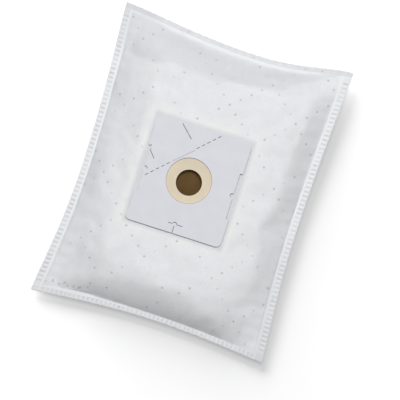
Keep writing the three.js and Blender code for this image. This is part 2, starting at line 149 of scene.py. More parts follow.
# Narrow creases beside the head seam: start, end, width in millimetres and share of the full depth.
NARROW_CREASES = (
    ((34, 131), (72, 141.5), 6, 0.4),
    ((62, 139.8), (90, 143.6), 4, 0.8),
    ((80, 142.4), (110, 146), 3.5, 0.8),
    ((-112, 139), (-108, 112), 3, 0.5),
)
# Lines pressed along the head seam: place and half width, share of the full depth and share of the wander.
HEAD_LINES = (
    (1.9 * MM, 0.8 * MM, 0.9, 1),
    (0.3 * MM, 0.8 * MM, 0.5, 0),
    (HEAD_SEAM - 0.4 * MM, 0.9 * MM, 1, -1),
)
# Small gathers in the left foot corner: place and length in millimetres, and share of the full depth.
CORNER_GATHERS = (
    (-104, -138.5, 4, 0.9),
    (-97, -140.5, 3, 0.9),
    (-92, -138.5, 4.5, 1.1),
    (-88, -140.5, 3, 0.8),
    (-82, -139.5, 3.5, 0.8),
    (-76, -139.5, 4, 1.1),
    (-68, -137, 3, 0.6),
)

# The cloth simulation works on a coarse grid and at a larger scale, where it is steadier.
SETTLE_CELL, SETTLE_SCALE, SETTLE_FRAMES = 3 * MM, 10, 30
HELD_FROM, GATHERED_FROM, GATHERED_SPAN, GATHERED_POWER = 0.999, 0.1, 0.8, 1.5
GLUE_MARGIN = 4 * MM

# The crease between the two runs of the card's tear line, from the card's left and head edges.
TEAR_START, TEAR_END = (27 * MM, -41 * MM), (46.7 * MM, -22.7 * MM)
RING_LINE_PITCH = 1.6 * MM

# How far the spot bonds stray from their pattern.
BOND_STRAY = 1.6 * MM

# The stage.
FLOOR_RADIUS, FLOOR_DROP, FLOOR_SIDES = 6, 0.1 * MM, 96
FLOOR_GREY, FLOOR_GLOW = (0.2, 0.2, 0.2, 1), 0.45
SKY_COLOUR = (0.95, 0.97, 1, 1)
OVERHEAD_PLACE, OVERHEAD_SIZE = (-0.06, 0.55, 2.2), 1.0
CASTER_PLACE, CASTER_SIZE = (-2.05, 2.75, 1.6), 3.0
CAMERA_X, CAMERA_Y, SENSOR_WIDTH = 12.7 * MM, -15.4 * MM, 36


# Shape of the bag


def clamp(values):
    return np.clip(values, 0, 1)


def smooth(values, low, high):
    """0 below low, 1 above high, and a smooth step between them."""
    share = clamp((values - low) / (high - low))
    return share * share * (3 - 2 * share)


def bump_at(values, place, half_width):
    """1 at a place, and down to 0 at half_width from it."""
    return 1 - smooth(np.abs(values - place), 0, half_width)


def upper_right(x, y):
    """1 on the upper right of the bag, and down to 0 towards its middle and on its left."""
    return smooth(y, 0, UPPER_RIGHT_REACH) * (x > 0)


def lower_right(x, y):
    return smooth(-y, 0, LOWER_RIGHT_REACH) * (x > 0)


def drawn_in(place, half, waist, roundness):
    """How far an edge is drawn in at a place along it: 1 at the waist and 0 at the corners."""
    room = np.where(place > waist, half - waist, half + waist)
    share = np.minimum(1, np.abs(place - waist) / room)
    return (1 - share * share) ** roundness


def bowed(x, y):
    """Moves places of the cut sheet to where they are on the puffed bag, seen from above."""
    to_left = clamp((FLAT_LOW[0] - x) / (FLAT_LOW[0] + HALF_WIDTH))
    to_right = clamp((x - FLAT_HIGH[0]) / (HALF_WIDTH - FLAT_HIGH[0]))
    to_head = clamp((y - FLAT_HIGH[1]) / (HALF_LENGTH - FLAT_HIGH[1]))
    to_foot = clamp((FLAT_LOW[1] - y) / (FLAT_LOW[1] + HALF_LENGTH))
    head_share = (y + HALF_LENGTH) / (2 * HALF_LENGTH)
    left_share = (HALF_WIDTH - x) / (2 * HALF_WIDTH)
    sides = drawn_in(y, HALF_LENGTH, SIDE_WAIST, SIDE_ROUNDNESS)
    foot = drawn_in(x, HALF_WIDTH, 0, SIDE_ROUNDNESS)
    head = drawn_in(x, HALF_WIDTH, HEAD_WAIST, HEAD_ROUNDNESS)
    new_x = (x + to_left * (LEFT_BOW * sides + HEAD_STEP_LEFT * head_share)
             - to_right * (RIGHT_BOW * sides + HEAD_STEP_RIGHT * head_share))
    new_y = y + to_foot * FOOT_BOW * foot - to_head * (HEAD_BOW * head + HEAD_SLANT * left_share)
    return new_x, new_y


def weld_height(x, y):
    """The height of the surface that the two panels meet at."""
    across, along = x / HALF_WIDTH, y / HALF_LENGTH
    foot = clamp((WELD_LOW[1] - y) / FOOT_WELD)
    rise = HEAD_CORNER_RISE * np.maximum(along, 0) * across * across
    return SEAM_HEIGHT + rise - FOOT_SAG * np.maximum(-along, 0) ** 4 - FOOT_WELD_DROP * foot


def shares(x, y):
    """How far a place is from the flat to the left, right, head and foot weld: 0 on the flat and 1 there."""
    left = (FLAT_LOW[0] - x) / (FLAT_LOW[0] - WELD_LOW[0])
    right = (x - FLAT_HIGH[0]) / (WELD_HIGH[0] - FLAT_HIGH[0])
    head = (y - FLAT_HIGH[1]) / (WELD_HIGH[1] - FLAT_HIGH[1])
    foot = (FLAT_LOW[1] - y) / (FLAT_LOW[1] - WELD_LOW[1])
    return [clamp(part) for part in (left, right, head, foot)]


def eased(share, start, end):
    """A slope from 0 to 1 that is steepest half way between start and end."""
    low, high = smooth(0.0, start, end), smooth(1.0, start, end)
    return (smooth(share, start, end) - low) / (high - low)


def bent(share, gentle, start, end):
    """A slope from 0 to 1 that is gentle at first, and steepens between start and end."""
    def steep(value):
        part = clamp((value - start) / (end - start))
        return (end - start) * (part ** 3 - part ** 4 / 2) + np.maximum(value - end, 0)
    return (gentle * share ** GENTLE_POWER + steep(share)) / (gentle + steep(1.0))


def front_fall(x, y):
    """How far the front has fallen from the flat under the collar (0) to the weld (1).
    Towards the corners the right and the head slope start later, and the slopes that meet there sink."""
    wander = sum(height * np.sin(x / across + y / along) for height, across, along in SLOPE_WAVES)
    wander = wander * (1 - smooth(np.maximum.reduce(shares(x, y)), WAVES_END, 1))
    left, right, head, foot = shares(x + wander, y + wander)
    corner = np.maximum(left, right) * np.maximum(head, foot)
    left = left * left / (left + LEFT_SOFT_START) * (1 + LEFT_SOFT_START)
    right = right ** (1 + CORNER_HOLD * (np.maximum(y, -y * LOW_RIGHT_HOLD) / HALF_LENGTH) ** 2)
    head = head ** (1 + CORNER_HOLD * (np.maximum(x, -x * HEAD_LEFT_HOLD) / HALF_WIDTH) ** 2)
    low_left = np.minimum(1, (np.minimum(x, 0) / LOW_LEFT_REACH) ** 2)
    foot = np.minimum(foot * (1 + LOW_LEFT_EXTRA * low_left), 1)
    even = LOW_RIGHT_EVENNESS * smooth(-y, LOW_RIGHT_START, LOW_RIGHT_END)
    left_fall = LEFT_EVENNESS * left + (1 - LEFT_EVENNESS) * left ** 3
    right_fall = bent(right, RIGHT_GENTLE, RIGHT_BEND_START, RIGHT_BEND_END) * (1 - even)
    right_fall += even * right ** LOW_RIGHT_POWER
    head_fall = eased(head, HEAD_BEND_START, HEAD_BEND_END)
    kept = (1 - left_fall) * (1 - right_fall) * (1 - head_fall) * (1 - foot ** FOOT_POWER)
    return 1 - kept * (1 - CORNER_SINK * corner ** CORNER_SINK_POWER)


def back_fall(x, y):
    kept = 1
    for share in shares(x, y):
        kept = kept * (1 - share ** BACK_POWER)
    return 1 - kept


class Relief:
    """How far the settled cloth lies from the plain surface, read by cubic splines."""

    def __init__(self, moves, columns, rows):
        self.columns = columns
        self.rows = rows
        grid = moves.reshape(rows + 1, columns + 1, 3)
        self.moves = np.pad(grid, ((1, 2), (1, 2), (0, 0)), mode="edge")

    @staticmethod
    def weights(part):
        """The cubic spline's weights for the four grid points round a place between the middle two."""
        left = 1 - part
        second = 2 / 3 - part * part * (2 - part) / 2
        third = 2 / 3 - left * left * (2 - left) / 2
        return left ** 3 / 6, second, third, part ** 3 / 6

    def at(self, x, y):
        across = clamp((x / HALF_WIDTH + 1) / 2) * self.columns
        along = clamp((y / HALF_LENGTH + 1) / 2) * self.rows
        column = np.minimum(across.astype(int), self.columns - 1)
        row = np.minimum(along.astype(int), self.rows - 1)
        moves = 0
        for j, weight_j in enumerate(self.weights(along - row)):
            for i, weight_i in enumerate(self.weights(across - column)):
                moves = moves + (weight_i * weight_j)[..., None] * self.moves[row + j, column + i]
        return moves


class Panel:
    """The shape of a panel or of a ply inside it. Each is a sheet that follows the bag's surface."""

    def __init__(self, front, settings):
        self.front = front
        self.settings = settings
        self.relief = None

    def middle(self, x, y):
        """Where the sheet's middle surface is, for places of the cut sheet."""
        thickness = self.settings.thickness
        if self.front:
            far, down, side = FRONT_FACE - thickness / 2, front_fall(x, y), 1
        else:
            far, down, side = thickness / 2, back_fall(x, y), -1
        weld = weld_height(x, y) + side * WELDED_LAYER / 2
        z = far + (weld - far) * down
        plan_x, plan_y = bowed(x, y)
        place = np.stack([plan_x, plan_y, z], axis=-1)
        return place if self.relief is None else place + self.relief.at(x, y)

    def normal(self, x, y, step=0.2 * MM):
        along_x = self.middle(x + step, y) - self.middle(x - step, y)
        along_y = self.middle(x, y + step) - self.middle(x, y - step)
        normal = np.cross(along_x, along_y)
        normal /= np.linalg.norm(normal, axis=-1, keepdims=True)
        return normal if self.front else -normal


@functools.cache
def bag_panel(front, settings):
    """The panel that the fleece and the ply of one side share. The front's cloth settles once, and the
    back's, which the floor holds, stays plain."""
    panel = Panel(front, settings)
    if front:
        panel.relief = settle(panel, settings)
    return panel


# Meshes and objects


def mesh_of(name, bm):
    mesh = bpy.data.meshes.new(name)
    bm.to_mesh(mesh)
    bm.free()
    return mesh


def in_scene(name, data):
    obj = bpy.data.objects.new(name, data)
    bpy.context.scene.collection.objects.link(obj)
    return obj


def places(mesh):
    values = np.empty(len(mesh.vertices) * 3)
    mesh.vertices.foreach_get("co", values)
    return values.reshape(-1, 3)


# The settled cloth


def settle(panel, settings):
    """Lets a panel's fleece settle as cloth that is held at its weld and under the collar, and that the weld
    has gathered a little. Returns the relief that it settles into."""
    columns, rows = round(2 * HALF_WIDTH / SETTLE_CELL), round(2 * HALF_LENGTH / SETTLE_CELL)
    bm = bmesh.new()
    bmesh.ops.create_grid(bm, x_segments=columns, y_segments=rows, size=1)
    # The vertices go row by row, as the relief reads them.
    bm.verts.sort(key=lambda vert: vert.co.y * rows * columns + vert.co.x)
    bm.verts.index_update()
    mesh = mesh_of("settling", bm)
    flat = places(mesh)
    x, y = flat[:, 0] * HALF_WIDTH, flat[:, 1] * HALF_LENGTH
    plain = panel.middle(x, y)
    share = np.maximum.reduce(shares(x, y))
    start = plain.copy()
    start[:, 2] += unevenness(x, y) * smooth(share, 0, UNEVEN_FULL) * (1 - smooth(share, UNEVEN_END, 1))
    mesh.vertices.foreach_set("co", (start * SETTLE_SCALE).ravel())
    mesh.update()
    cloth = in_scene("settling", mesh)

    held = cloth.vertex_groups.new(name="held")
    glued = abs(x - COLLAR.x) < CARD_HIGH.x - COLLAR.x + GLUE_MARGIN
    glued &= abs(y - COLLAR.y) < CARD_HIGH.y - COLLAR.y + GLUE_MARGIN
    held.add(np.flatnonzero(glued | (share > HELD_FROM)).tolist(), 1, "REPLACE")
    gathered = cloth.vertex_groups.new(name="gathered")
    for index in np.flatnonzero(share > GATHERED_FROM):
        weight = float(clamp((share[index] - GATHERED_FROM) / GATHERED_SPAN)) ** GATHERED_POWER
        gathered.add([int(index)], weight, "REPLACE")

    modifier = cloth.modifiers.new("settling", "CLOTH")
    set_fabric(modifier.settings, settings, held.name, gathered.name)
    modifier.point_cache.frame_start = 1
    modifier.point_cache.frame_end = SETTLE_FRAMES
    for time in range(1, SETTLE_FRAMES + 1):
        bpy.context.scene.frame_set(time)
    settled = cloth.evaluated_get(bpy.context.evaluated_depsgraph_get()).data
    relief = Relief(places(settled) / SETTLE_SCALE - plain, columns, rows)
    bpy.data.objects.remove(cloth)
    bpy.data.meshes.remove(mesh)
    bpy.context.scene.frame_set(1)
    return relief


def set_fabric(fabric, settings, held, gathered):
    """Gives the simulated cloth the fleece's stiffness, its held places and its gathered edge."""
    fabric.quality = 6
    fabric.mass = 0.1
    fabric.air_damping = 5
    fabric.tension_stiffness = settings.stiffness
    fabric.compression_stiffness = settings.stiffness
    fabric.shear_stiffness = settings.stiffness / 2
    fabric.bending_stiffness = settings.bending
    fabric.vertex_group_mass = held
    fabric.vertex_group_shrink = gathered
    fabric.shrink_min = -settings.slack
    fabric.shrink_max = -settings.gather
    fabric.effector_weights.gravity = 0


def unevenness(x, y):
    """The small rises and dips that a filled bag's cloth starts from, its long soft folds and its puckers."""
    heights = np.array([
        sum(noise.noise(Vector((across * scale, along * scale, scale))) * height for scale, height in DIMPLES)
        for across, along in zip(x.tolist(), y.tolist())])
    for start, end, height, width in FOLDS:
        heights += height * MM * line_mask(x, y, start, end, width)
    left, right, head, foot = shares(x, y)
    for share, along in ((np.maximum(left, right), y), (np.maximum(head, foot), x)):
        pucker = np.sin(along / PUCKER_LENGTH + 3 * np.sin(along / PUCKER_DRIFT))
        heights += PUCKER_HEIGHT * pucker * smooth(share, PUCKER_START, PUCKER_FULL)
    return heights


def line_mask(x, y, start, end, width):
    """1 on a line between two places in millimetres, and down to 0 beside it and at its ends."""
    start, way = Vector(start) * MM, (Vector(end) - Vector(start)) * MM
    along = ((x - start.x) * way.x + (y - start.y) * way.y) / way.length_squared
    across = ((x - start.x) * way.y - (y - start.y) * way.x) / way.length
    beside = np.exp(-(across / (width * MM / 2)) ** 2)
    return beside * smooth(along, *LINE_FADE_IN) * (1 - smooth(along, *LINE_FADE_OUT))


# The weld


def ladder(edge, along, half, weld, rail, head_end, wander, extra, settings):
    """The ladder along one edge: its pressed pockets, its inner rail and its rungs, each from 0 to 1.
    The rail is wider inwards by the extra."""
    band = smooth(edge, OUTER_RAIL - BAND_BLUR, OUTER_RAIL + BAND_BLUR)
    band = band * (1 - smooth(edge, weld - rail - BAND_BLUR, weld - rail + BAND_BLUR))
    band *= (along > LADDER_FOOT_END - half) & (along < half - head_end)
    run = 2 * half - LADDER_FOOT_END - head_end
    pitch = run / round(run / settings.rung_pitch)
    # The wheel's marks shift a little from rung to rung, and some are fainter than others.
    moved = along + half - LADDER_FOOT_END + wander
    off = np.abs(moved % pitch - pitch / 2)
    pocket_end = settings.pocket_length / 2
    pocket = 1 - smooth(off, pocket_end - POCKET_BLUR, pocket_end + POCKET_BLUR)
    faint = 0.72 + 0.28 * np.sin(along / (19 * MM) + 2 * np.sin(along / (7.3 * MM)))
    on_rail = bump_at(edge + 1.5 * wander - extra, weld - rail / 2, rail * 0.75 + extra)
    on_rail *= (along > MM - half) & (along < half - HEAD_SEAM)
    return band * pocket * faint, on_rail * (0.5 + 0.4 * faint), band * (1 - pocket) * RUNG_SHARE


def head_marks(x, from_head, wander):
    """The flattened band and the pressed lines of the plain head seam, each from 0 to 1."""
    flattened = 1 - smooth(from_head + wander, HEAD_SEAM - 1.2 * MM, HEAD_SEAM)
    flattened = flattened * (0.32 + 0.12 * np.sin(x / (1.3 * MM) + np.sin(x / (5 * MM))))
    lines = sum(depth * bump_at(from_head + stray * wander, place, half_width)
                for place, half_width, depth, stray in HEAD_LINES)
    return flattened, np.minimum(lines, 1)


def weld_relief(x, y, settings):
    """The weld's pressed pockets, its raised rails and rungs, and its creases, each from 0 to 1."""
    from_side, from_foot, from_head = HALF_WIDTH - np.abs(x), y + HALF_LENGTH, HALF_LENGTH - y
    wander = WHEEL_WANDER * (np.sin(x / (7 * MM)) + np.sin(y / (9 * MM)))
    upper, lower = upper_right(x, y), lower_right(x, y)
    side_pockets, side_rail, side_rungs = ladder(
        from_side, y, HALF_LENGTH, SIDE_WELD, SIDE_RAIL, LADDER_HEAD_END, wander, UPPER_RAIL_EXTRA * upper,
        settings)
    foot_pockets, foot_rail, foot_rungs = ladder(
        from_foot, x, HALF_WIDTH, FOOT_WELD, FOOT_RAIL, LADDER_FOOT_END, wander, 0, settings)
    flattened, lines = head_marks(x, from_head, wander)
    pressed = np.maximum.reduce([side_pockets, FOOT_POCKET_SHARE * foot_pockets, flattened])

    rail = np.maximum(side_rail, foot_rail) * (1 - LOW_RAIL_FADE * lower)
    inside = from_side > SIDE_WELD - SIDE_RAIL
    head_ridge = 0.6 * bump_at(from_head + wander, HEAD_RIDGE, HEAD_RIDGE_WIDTH) * inside
    ridge = np.maximum.reduce([rail, side_rungs, foot_rungs, head_ridge])

    valley = bump_at(from_side + wander - VALLEY_SHIFT * upper, SIDE_WELD + VALLEY_PLACE, VALLEY_WIDTH)
    valley *= (from_foot > FOOT_WELD) & (from_head > HEAD_SEAM)
    crease = np.maximum(lines, VALLEY_SHARE * valley * (1 - UPPER_VALLEY_FADE * upper))
    for start, end, width, depth in NARROW_CREASES:
        crease = np.maximum(crease, depth * line_mask(x, y, start, end, width))
    for place_x, place_y, length, depth in CORNER_GATHERS:
        # Each gather leans its own way.
        lean = (place_x % 5 - 2) * GATHER_LEAN
        start, end = (place_x - lean, place_y - length / 2), (place_x + lean, place_y + length / 2)
        crease = np.maximum(crease, line_mask(x, y, start, end, GATHER_WIDTH) * depth * GATHER_DEPTH)
    return pressed, ridge, crease


def painted_slope_shade(x, y):
    """1 where painted shade greys the fleece: in a band below the head seam, beside the left rail and on the
    lower right rail."""
    left, right, head, foot = shares(x, y)
    start = SLOPE_SHADE_START + 1.5 * MM * np.sin(x / (11 * MM)) + MM * np.sin(x / (5 * MM))
    for bend, rise in SLOPE_SHADE_BENDS:
        start = start + rise * np.maximum(x - bend, 0)
    end = BAND_END + BAND_END_LEFT_EXTRA * smooth(left, 0.1, 0.6)
    band = smooth(bowed(x, y)[1] - start, -SLOPE_SHADE_BLUR, SLOPE_SHADE_BLUR)
    band *= 1 - smooth(head, end, end + BAND_END_BLUR)
    # The band is half as grey in a stripe along it, but not at its left end.
    band *= 1 - STRIPE_FADE * bump_at(head, STRIPE_PLACE, STRIPE_HALF_WIDTH) * (1 - smooth(left, 0.2, 0.6))
    beside_rail = smooth(left, BESIDE_RAIL_START, BESIDE_RAIL_FULL) * (1 - smooth(left, BESIDE_RAIL_END, 1))
    beside_rail *= 1 - smooth(-y, BESIDE_RAIL_FADE_START, BESIDE_RAIL_FADE_END)
    low_rail = (x > WELD_HIGH[0]) * lower_right(x, y)
    return np.maximum.reduce([band, LEFT_RAIL_SHADE * beside_rail, LOW_RAIL_SHADE * low_rail])


# The sheets


def is_fine(place, cell):
    """Whether a place of the cut sheet lies in the weld or in the corner with the gathers."""
    return (HALF_WIDTH - abs(place.x) < SIDE_WELD + cell
            or place.y + HALF_LENGTH < FOOT_WELD + cell
            or HALF_LENGTH - place.y < HEAD_WELD + cell
            or (place.x < GATHERED_X and place.y < GATHERED_Y))


def cut_sheet(cell, hole, cuts, thickness):
    """A flat sheet of cloth, cut to the bag's rectangle and closed all round.
    The cuts make its cells finer in the weld, and it may have the inlet's hole."""
    bm = bmesh.new()
    columns, rows = round(2 * HALF_WIDTH / cell), round(2 * HALF_LENGTH / cell)
    bmesh.ops.create_grid(bm, x_segments=columns, y_segments=rows, size=1)
    bmesh.ops.scale(bm, vec=(HALF_WIDTH, HALF_LENGTH, 1), verts=bm.verts)
    if hole:
        inside = [face for face in bm.faces if (face.calc_center_median() - COLLAR).length < PANEL_HOLE / 2]
        bmesh.ops.delete(bm, geom=inside, context="FACES")
        for vert in bm.verts:
            off = vert.co - COLLAR
            if vert.is_boundary and off.length < PANEL_HOLE:
                vert.co = COLLAR + off.normalized() * PANEL_HOLE / 2
    if cuts:
        fine = [edge for edge in bm.edges if all(is_fine(vert.co, cell) for vert in edge.verts)]
        bmesh.ops.subdivide_edges(bm, edges=fine, cuts=cuts, use_grid_fill=True)
    extruded = bmesh.ops.extrude_face_region(bm, geom=bm.faces[:])
    moved = [item for item in extruded["geom"] if isinstance(item, bmesh.types.BMVert)]
    bmesh.ops.translate(bm, vec=(0, 0, thickness), verts=moved)
    bmesh.ops.recalc_face_normals(bm, faces=bm.faces)
    return bm


def round_off(bm, share):
    """Draws a cut sheet in from the weld and rounds its corners."""
    power = PLY_CORNER_POWER
    for vert in bm.verts:
        across, along = abs(vert.co.x) / HALF_WIDTH, abs(vert.co.y) / HALF_LENGTH
        size = (across ** power + along ** power) ** (1 / power) or 1
        scale = share * max(across, along) / size
        vert.co.x *= scale
        vert.co.y *= scale


def ragged_edge(x, y):
    """How far the cut edge is worn in across and along, which leaves it a little ragged."""
    ragged = np.sin(x / (0.7 * MM) + np.sin(y / MM)) * np.sin(y / (0.9 * MM) + np.sin(x / (1.3 * MM)))
    worn = EDGE_WEAR * ragged ** 2
    return (np.sign(x) * smooth(np.abs(x), HALF_WIDTH - EDGE_WEAR_REACH, HALF_WIDTH) * worn,
            np.sign(y) * smooth(np.abs(y), HALF_LENGTH - EDGE_WEAR_REACH, HALF_LENGTH) * worn)


def shaped(name, bm, panel, settings, depth=0.0, welded=True, rise=0.0):
    """Lays a cut sheet on its panel's surface, depth below it, and keeps its cut places as a UV map.
    A sheet that rises stands up softly under the inlet."""
    mesh = mesh_of(name, bm)
    flat = places(mesh)
    x, y, upper = flat[:, 0], flat[:, 1], flat[:, 2] > settings.thickness / 2
    outer = upper if panel.front else ~upper
    share = np.maximum.reduce(shares(x, y))
    half = (settings.thickness + (WELDED_LAYER - settings.thickness) * smooth(share, WELD_START, 1)) / 2
    off = np.where(outer, half, -half) - depth
    if welded:
        pressed, ridge, crease = weld_relief(x, y, settings)
        relief = ridge * RIDGE_HEIGHT - pressed * settings.pocket_depth - crease * CREASE_DEPTH
        off += np.where(outer, relief, 0)
        # The 'thin' attribute holds painted shade on the slopes and beside the rails.
        kinds = {"pressed": pressed, "ridge": ridge, "crease": crease, "thin": painted_slope_shade(x, y)}
        for kind, values in kinds.items():
            attribute = mesh.attributes.new(kind, "FLOAT", "POINT")
            attribute.data.foreach_set("value", (values * outer).astype(np.float32))
    place = panel.middle(x, y) + panel.normal(x, y) * off[:, None]
    place[:, 2] += rise * (1 - smooth(np.hypot(x - COLLAR.x, y - COLLAR.y), 0, PLY_RISE_REACH))
    if welded:
        for axis, worn in enumerate(ragged_edge(x, y)):
            place[:, axis] -= worn
    mesh.vertices.foreach_set("co", place.ravel())
    cloth = mesh.uv_layers.new(name="cloth")
    corners = np.empty(len(mesh.loops), dtype=np.int32)
    mesh.loops.foreach_get("vertex_index", corners)
    cloth.data.foreach_set("uv", flat[corners][:, :2].ravel())
    # The cut edge is not smoothed into the faces beside it.
    smoothed = [len({bool(upper[vert]) for vert in face.vertices}) == 1 for face in mesh.polygons]
    mesh.polygons.foreach_set("use_smooth", smoothed)
    mesh.update()
    return in_scene(name, mesh)


def finish_piece(obj, material, slot, *replaced):
    obj.data.materials.clear()
    obj.data.materials.append(material)
    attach(obj, "root")
    if replaced:
        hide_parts(*replaced)


# Materials


class Nodes:
    """The node tree of a material or a world, with short ways to add nodes to it."""

    def __init__(self, owner, shader="Principled BSDF"):
        owner.use_nodes = True
        self.owner = owner
        self.tree = owner.node_tree
        self.shader = self.tree.nodes[shader]

    def add(self, kind, inputs=None, **settings):
        node = self.tree.nodes.new(kind)
        for key, value in settings.items():
            setattr(node, key, value)
        for key, value in (inputs or {}).items():
            self.feed(node.inputs[key], value)
        return node

    def feed(self, socket, value):
        if isinstance(value, bpy.types.NodeSocket):
            self.tree.links.new(value, socket)
        else:
            socket.default_value = value

    def set(self, **values):
        for key, value in values.items():
            self.feed(self.shader.inputs[key.replace("_", " ")], value)

    def math(self, operation, *values):
        return self.add("ShaderNodeMath", dict(enumerate(values)), operation=operation).outputs[0]

    def plus(self, first, second):
        return self.math("ADD", first, second)

    def minus(self, first, second):
        return self.math("SUBTRACT", first, second)

    def times(self, first, second):
        return self.math("MULTIPLY", first, second)

    def squares(self, first, second):
        return self.plus(self.times(first, first), self.times(second, second))

    def ramp(self, value, low, high, to_low=0.0, to_high=1.0):
        """A smooth step from to_low at low to to_high at high."""
        node = self.add("ShaderNodeMapRange", {
            "Value": value, "From Min": low, "From Max": high, "To Min": to_low, "To Max": to_high,
        }, interpolation_type="SMOOTHSTEP")
        return node.outputs["Result"]

    def noise(self, vector, scale, detail=2.0, roughness=0.5):
        inputs = {"Vector": vector, "Scale": scale, "Detail": detail, "Roughness": roughness}
        return self.add("ShaderNodeTexNoise", inputs).outputs["Fac"]

    def mix(self, factor, first, second):
        node = self.add("ShaderNodeMix", data_type="RGBA")
        for socket, value in ((node.inputs[0], factor), (node.inputs[6], first), (node.inputs[7], second)):
            self.feed(socket, value)
        return node.outputs[2]

    def clouded(self, cloud, colour, darkest):
        """A colour that a soft noise darkens in places, to the darkest share of it."""
        return self.mix(self.ramp(cloud, 0.3, 0.7), linear(colour, darkest), linear(colour))

    def bump(self, height, distance, strength=1.0, normal=None):
        inputs = {"Height": height, "Distance": distance, "Strength": strength}
        if normal is not None:
            inputs["Normal"] = normal
        return self.add("ShaderNodeBump", inputs).outputs["Normal"]

    def object_place(self):
        return self.add("ShaderNodeTexCoord").outputs["Object"]

    def attribute(self, name):
        return self.add("ShaderNodeAttribute", attribute_name=name).outputs["Fac"]

    def plan(self, vector):
        parts = self.add("ShaderNodeSeparateXYZ", {"Vector": vector}).outputs
        return parts["X"], parts["Y"]

    def openness(self, reach):
        """How open a place is to its surroundings within a reach: 1 on a flat, and less in a narrow cut."""
        return self.add("ShaderNodeAmbientOcclusion", {"Distance": reach}, samples=8).outputs["AO"]

    def seen(self):
        """1 for rays from the camera, from mirrors and through glass, and 0 for the light on things."""
        path = self.add("ShaderNodeLightPath").outputs
        passed_on = self.math("MAXIMUM", path["Is Glossy Ray"], path["Is Transmission Ray"])
        return self.math("MAXIMUM", path["Is Camera Ray"], passed_on)


def linear(colour, share=1.0):
    """A share of a colour given as seen on the screen, as the shader wants it."""
    parts = [part * share for part in colour]
    return tuple(c / 12.92 if c <= 0.04045 else ((c + 0.055) / 1.055) ** 2.4 for c in parts) + (1.0,)


def spot_bonds(nodes, plan, settings):
    """The diamond pattern of small spot bonds: rows of dots along both diagonals."""
    x, y = nodes.plan(plan)
    across = nodes.minus(x, settings.bond_start_x)
    along = nodes.minus(y, settings.bond_start_y)
    diagonals = nodes.plus(across, along), nodes.minus(across, along)
    rows, dots = settings.bond_rows / 2, settings.bond_pitch / 2
    found = []
    for row, dot in (diagonals, diagonals[::-1]):
        off_row = nodes.math("WRAP", row, rows, -rows)
        off_dot = nodes.math("WRAP", dot, dots, -dots)
        # Both offsets are along diagonals, whose values grow by the root of 2 to the metre.
        distance = nodes.math("SQRT", nodes.times(nodes.squares(off_row, off_dot), 0.5))
        found.append(nodes.ramp(distance, settings.bond_radius * 1.6, 0))
    return nodes.math("MAXIMUM", *found)


def round_the_card(nodes, cloth, reach):
    """1 at the card's edge and 0 at reach outside it, in the cloth's own plan."""
    x, y = nodes.plan(cloth)
    half = CARD_HIGH - COLLAR
    outside = []
    for place, middle, size in ((x, COLLAR.x, half.x), (y, COLLAR.y, half.y)):
        off = nodes.math("ABSOLUTE", nodes.minus(place, middle))
        outside.append(nodes.math("MAXIMUM", nodes.minus(off, size), 0))
    return nodes.ramp(nodes.math("SQRT", nodes.squares(*outside)), reach, 0)


def painted_card_shadow(nodes, cloth):
    """1 in the painted shadow beside the card's right and foot edge, where the card stands off the fleece."""
    x, y = nodes.plan(cloth)
    right = nodes.times(nodes.ramp(x, CARD_HIGH.x - 8 * MM, CARD_HIGH.x - 6 * MM),
                        nodes.ramp(y, CARD_HIGH.y, CARD_HIGH.y - 3 * MM))
    foot = nodes.ramp(y, CARD_LOW.y + 2 * MM, CARD_LOW.y + MM)
    past = nodes.ramp(x, CARD_HIGH.x + 4 * MM, CARD_HIGH.x + 3 * MM)
    side = nodes.times(nodes.math("MAXIMUM", right, foot), past)
    return nodes.times(nodes.ramp(nodes.openness(3 * MM), 0.68, 0.4), side)


def strayed(nodes, place, cloth):
    """The cloth's plan with each place moved a little, so that its pattern isn't quite regular."""
    clouds = nodes.add("ShaderNodeTexNoise", {"Vector": place, "Scale": 60}).outputs["Color"]
    wobble = nodes.add("ShaderNodeVectorMath", {0: clouds, 1: (0.5, 0.5, 0.5)}, operation="SUBTRACT")
    inputs = {0: wobble.outputs[0], 1: (BOND_STRAY,) * 3, 2: cloth}
    return nodes.add("ShaderNodeVectorMath", inputs, operation="MULTIPLY_ADD").outputs[0]


